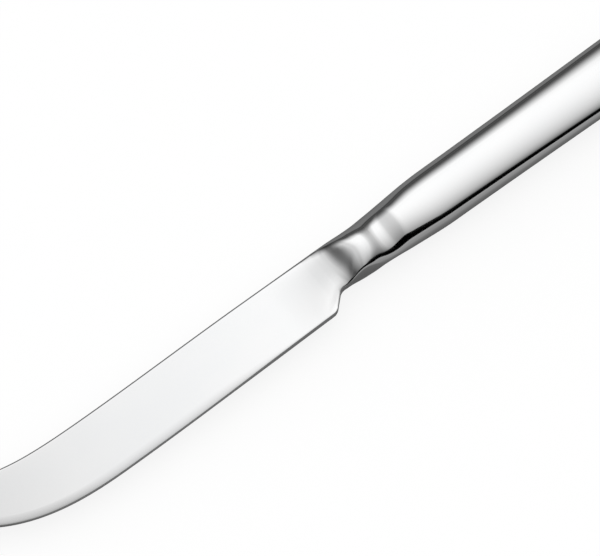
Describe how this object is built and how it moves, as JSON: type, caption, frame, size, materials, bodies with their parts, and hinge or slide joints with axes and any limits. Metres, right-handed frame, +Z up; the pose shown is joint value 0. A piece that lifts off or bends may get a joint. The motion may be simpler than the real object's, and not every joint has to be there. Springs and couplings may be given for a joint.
{
  "type": "cheese knife",
  "caption": "Polished stainless cheese knife with a slim blade, an upturned forked tip, a notched heel, a forged bolster and an oval hollow handle.",
  "frame": {"origin": "bottom centre of the bounding box, with the knife lying on its side on a flat surface", "axes": "+X from the forked tip to the butt of the handle, +Y from the cutting edge to the spine, +Z up, square to the blade's cheeks"},
  "size_m": [0.226, 0.0324, 0.0124],
  "materials": {
    "blade_steel": "polished",
    "handle_steel": "polished",
    "joint_metal": "polished",
    "cement": "matte"
  },
  "bodies": {
    "root": {"blade": "blade_steel", "bolster_braze": "joint_metal", "handle_shell_front": "handle_steel", "handle_shell_back": "handle_steel", "seam_weld": "joint_metal", "handle_filler": "cement"}
  },
  "joints": []
}
